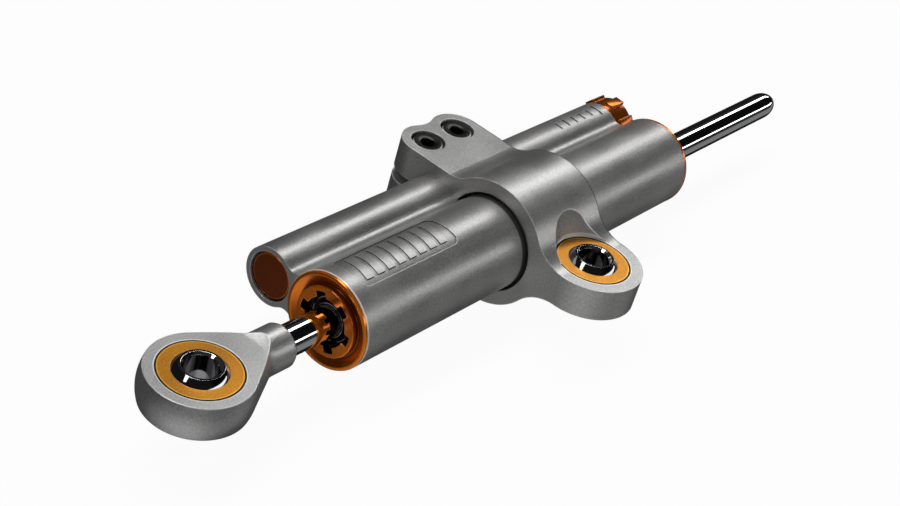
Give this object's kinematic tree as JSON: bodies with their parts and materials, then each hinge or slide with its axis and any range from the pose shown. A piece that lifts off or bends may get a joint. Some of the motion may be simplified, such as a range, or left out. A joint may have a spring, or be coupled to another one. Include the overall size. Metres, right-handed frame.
{
  "type": "steering damper",
  "caption": "Through-rod hydraulic steering damper: twin-tube body, rod eye, body clamp with side lug, spherical bearings and a rear damping adjuster.",
  "frame": {"origin": "centre of the rod eye's bearing ball, which is also the middle of its bolt bore", "axes": "+X along the piston rod towards the adjuster end, +Z along both bearing bores, -Y towards the clamp's lug"},
  "size_m": [0.2651, 0.0754, 0.0348],
  "materials": {
    "body_metal": "satin grey anodised",
    "clamp_metal": "fine blasted grey anodised",
    "eye_metal": "satin grey anodised, turned and milled",
    "orange_anodised": "deep orange anodised",
    "race_metal": "golden, finely turned",
    "chrome": "hard chromed and polished",
    "black_oxide": "black oxide, lightly oiled",
    "spring_steel": "dark spring steel",
    "seal_rubber": "matt nitrile",
    "bronze": "plain bearing bronze",
    "plain_aluminium": "machined",
    "bright_steel": "ground"
  },
  "bodies": {
    "housing": {"damper_body": "body_metal", "front_end_cap": "orange_anodised", "rear_end_cap": "orange_anodised", "front_cap_o_ring": "seal_rubber", "rear_cap_o_ring": "seal_rubber", "front_wiper_seal": "seal_rubber", "rear_wiper_seal": "seal_rubber", "front_rod_seal": "seal_rubber", "rear_rod_seal": "seal_rubber", "front_rod_bushing": "bronze", "rear_rod_bushing": "bronze", "clamp_bracket": "clamp_metal", "clamp_race": "race_metal", "clamp_screws": "black_oxide", "reservoir_plug": "orange_anodised", "reservoir_snap_ring": "black_oxide", "reservoir_plug_o_ring": "seal_rubber", "valve_seat": "bronze", "needle_guide": "bronze", "adjuster_gland": "plain_aluminium", "gland_o_ring": "seal_rubber", "stem_o_ring": "seal_rubber", "detent_ball": "bright_steel", "detent_spring": "spring_steel"},
    "clamp_ball": {"clamp_ball": "chrome"},
    "piston_ring": {"piston_ring": "bronze"},
    "rod": {"piston_rod": "chrome", "piston": "plain_aluminium", "piston_clips": "spring_steel", "rod_eye": "eye_metal", "rod_eye_race": "race_metal"},
    "rod_eye_ball": {"rod_eye_ball": "chrome"},
    "separator": {"separator_piston": "plain_aluminium", "separator_o_ring": "seal_rubber"},
    "knob": {"adjuster_knob": "orange_anodised", "knob_clip": "spring_steel"},
    "needle": {"adjuster_needle": "bright_steel"}
  },
  "joints": [
    {"name": "rod_stroke", "type": "slide", "parent": "housing", "child": "piston_ring", "axis": [1, 0, 0], "range_m": [-0.055, 0.013]},
    {"name": "rod_turn", "type": "hinge", "parent": "piston_ring", "child": "rod", "pos_m": [0.132, 0, 0], "axis": [1, 0, 0], "continuous": true},
    {"name": "rod_eye_tilt", "type": "hinge", "parent": "rod", "child": "rod_eye_ball", "pos_m": [0, 0, 0], "axis": [0, 1, 0], "range_deg": [-13, 13]},
    {"name": "clamp_ball_tilt", "type": "hinge", "parent": "housing", "child": "clamp_ball", "pos_m": [0.1165, -0.0242, 0], "axis": [1, 0, 0], "range_deg": [-13, 13]},
    {"name": "separator_slide", "type": "slide", "parent": "housing", "child": "separator", "axis": [1, 0, 0], "range_m": [-0.003, 0.003]},
    {"name": "knob_turn", "type": "hinge", "parent": "housing", "child": "knob", "pos_m": [0.184, 0.01965, 0], "axis": [1, 0, 0], "range_deg": [-300, 300]},
    {"name": "needle_travel", "type": "slide", "parent": "housing", "child": "needle", "axis": [1, 0, 0], "range_m": [-0.00063, 0.00063]}
  ],
  "couplings": [
    {"joint": "knob_turn", "follows": "needle_travel", "rad_per_m": 8377.5}
  ]
}
